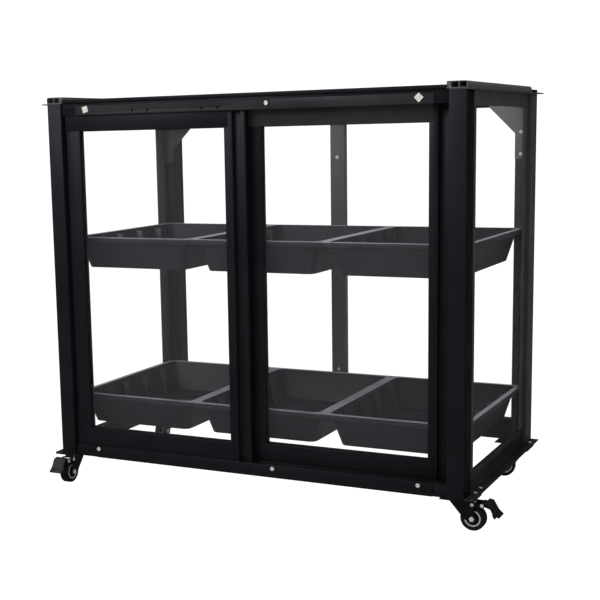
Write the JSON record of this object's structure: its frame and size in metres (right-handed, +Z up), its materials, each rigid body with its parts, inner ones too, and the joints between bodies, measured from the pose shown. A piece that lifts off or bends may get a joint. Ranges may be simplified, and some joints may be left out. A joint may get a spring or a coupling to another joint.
{
  "type": "mini greenhouse",
  "caption": "Glazed mini greenhouse cabinet on casters with sliding front doors, a hinged roof lid and lift-out seed trays",
  "frame": {"origin": "on the floor, below the middle of the cabinet (mid width and mid depth of the posts)", "axes": "+X to the right along the front, -Y out of the front doors towards the user, +Z up"},
  "size_m": [1.286, 0.733, 1.0903],
  "materials": {
    "black_profile": "near-black satin powder coat on aluminium profiles",
    "grey_profile": "lighter satin powder coat seen on the side top rails",
    "black_steel": "black painted pressed steel",
    "clear_pane": "clear smooth sheet with a faint haze",
    "tray_plastic": "dark grey thin plastic, slightly see-through",
    "zinc_screws": "bright zinc plated screws and rivets",
    "hub_plastic": "pale grey moulded hub with a raised ring",
    "black_plastic": "black moulded brake pedal",
    "tread_rubber": "black polyurethane tread"
  },
  "bodies": {
    "frame": {"front_left_post": "black_profile", "front_right_post": "black_profile", "rear_left_post": "black_profile", "rear_right_post": "black_profile", "header_track": "black_profile", "bottom_track": "black_profile", "top_fascias": "black_profile", "base_fascia": "black_profile", "rear_top_rail": "black_profile", "rear_bottom_rail": "black_profile", "rear_mullion": "black_profile", "rear_cap": "black_profile", "rear_panes": "clear_pane", "side_sills": "black_profile", "side_top_rails": "grey_profile", "side_stiles": "black_profile", "side_panes": "clear_pane", "corner_gussets": "grey_profile", "tray_bearers": "black_steel", "frame_bolts": "zinc_screws", "caster_plates": "black_steel", "lid_hinge_leaves": "black_steel"},
    "left_door": {"left_door_top_rail": "black_profile", "left_door_bottom_rail": "black_profile", "left_door_plain_stile": "black_profile", "left_door_grip_stile": "black_profile", "left_door_pane": "clear_pane"},
    "right_door": {"right_door_top_rail": "black_profile", "right_door_bottom_rail": "black_profile", "right_door_plain_stile": "black_profile", "right_door_grip_stile": "black_profile", "right_door_pane": "clear_pane"},
    "lid": {"lid_end_rails": "black_profile", "lid_cross_rails": "black_profile", "roof_pane": "clear_pane"},
    "upper_left_tray_body": {"upper_left_tray": "tray_plastic"},
    "upper_middle_tray_body": {"upper_middle_tray": "tray_plastic"},
    "upper_right_tray_body": {"upper_right_tray": "tray_plastic"},
    "lower_left_tray_body": {"lower_left_tray": "tray_plastic"},
    "lower_middle_tray_body": {"lower_middle_tray": "tray_plastic"},
    "lower_right_tray_body": {"lower_right_tray": "tray_plastic"},
    "front_left_caster": {"front_left_fork": "black_steel", "front_left_axle": "zinc_screws"},
    "front_left_wheel": {"front_left_hub": "hub_plastic", "front_left_tyre": "tread_rubber"},
    "front_left_brake": {"front_left_pedal": "black_plastic"},
    "front_right_caster": {"front_right_fork": "black_steel", "front_right_axle": "zinc_screws"},
    "front_right_wheel": {"front_right_hub": "hub_plastic", "front_right_tyre": "tread_rubber"},
    "front_right_brake": {"front_right_pedal": "black_plastic"},
    "rear_left_caster": {"rear_left_fork": "black_steel", "rear_left_axle": "zinc_screws"},
    "rear_left_wheel": {"rear_left_hub": "hub_plastic", "rear_left_tyre": "tread_rubber"},
    "rear_right_caster": {"rear_right_fork": "black_steel", "rear_right_axle": "zinc_screws"},
    "rear_right_wheel": {"rear_right_hub": "hub_plastic", "rear_right_tyre": "tread_rubber"}
  },
  "joints": [
    {"name": "left_door_slide", "type": "slide", "parent": "frame", "child": "left_door", "axis": [1, 0, 0], "range_m": [0, 0.5]},
    {"name": "right_door_slide", "type": "slide", "parent": "frame", "child": "right_door", "axis": [-1, 0, 0], "range_m": [0, 0.5]},
    {"name": "lid_hinge", "type": "hinge", "parent": "frame", "child": "lid", "pos_m": [0, 0.2775, 1.0863], "axis": [-1, 0, 0], "range_deg": [0, 100]},
    {"name": "upper_left_tray_lift", "type": "slide", "parent": "frame", "child": "upper_left_tray_body", "axis": [0, 0, 1], "range_m": [0, 0.12]},
    {"name": "upper_middle_tray_lift", "type": "slide", "parent": "frame", "child": "upper_middle_tray_body", "axis": [0, 0, 1], "range_m": [0, 0.12]},
    {"name": "upper_right_tray_lift", "type": "slide", "parent": "frame", "child": "upper_right_tray_body", "axis": [0, 0, 1], "range_m": [0, 0.12]},
    {"name": "lower_left_tray_lift", "type": "slide", "parent": "frame", "child": "lower_left_tray_body", "axis": [0, 0, 1], "range_m": [0, 0.12]},
    {"name": "lower_middle_tray_lift", "type": "slide", "parent": "frame", "child": "lower_middle_tray_body", "axis": [0, 0, 1], "range_m": [0, 0.12]},
    {"name": "lower_right_tray_lift", "type": "slide", "parent": "frame", "child": "lower_right_tray_body", "axis": [0, 0, 1], "range_m": [0, 0.12]},
    {"name": "front_left_swivel", "type": "hinge", "parent": "frame", "child": "front_left_caster", "pos_m": [-0.574, -0.301, 0.082], "axis": [0, 0, 1], "continuous": true},
    {"name": "front_left_roll", "type": "hinge", "parent": "front_left_caster", "child": "front_left_wheel", "pos_m": [-0.574, -0.335, 0.03175], "axis": [1, 0, 0], "continuous": true},
    {"name": "front_left_brake_press", "type": "hinge", "parent": "front_left_caster", "child": "front_left_brake", "pos_m": [-0.574, -0.36, 0.0685], "axis": [1, 0, 0], "range_deg": [0, 12]},
    {"name": "front_right_swivel", "type": "hinge", "parent": "frame", "child": "front_right_caster", "pos_m": [0.574, -0.301, 0.082], "axis": [0, 0, 1], "continuous": true},
    {"name": "front_right_roll", "type": "hinge", "parent": "front_right_caster", "child": "front_right_wheel", "pos_m": [0.608, -0.301, 0.03175], "axis": [0, 1, 0], "continuous": true},
    {"name": "front_right_brake_press", "type": "hinge", "parent": "front_right_caster", "child": "front_right_brake", "pos_m": [0.633, -0.301, 0.0685], "axis": [0, 1, 0], "range_deg": [0, 12]},
    {"name": "rear_left_swivel", "type": "hinge", "parent": "frame", "child": "rear_left_caster", "pos_m": [-0.574, 0.233, 0.082], "axis": [0, 0, 1], "continuous": true},
    {"name": "rear_left_roll", "type": "hinge", "parent": "rear_left_caster", "child": "rear_left_wheel", "pos_m": [-0.574, 0.199, 0.03175], "axis": [1, 0, 0], "continuous": true},
    {"name": "rear_right_swivel", "type": "hinge", "parent": "frame", "child": "rear_right_caster", "pos_m": [0.574, 0.233, 0.082], "axis": [0, 0, 1], "continuous": true},
    {"name": "rear_right_roll", "type": "hinge", "parent": "rear_right_caster", "child": "rear_right_wheel", "pos_m": [0.54758, 0.2116, 0.03175], "axis": [0.6293, -0.7771, 0], "continuous": true}
  ]
}
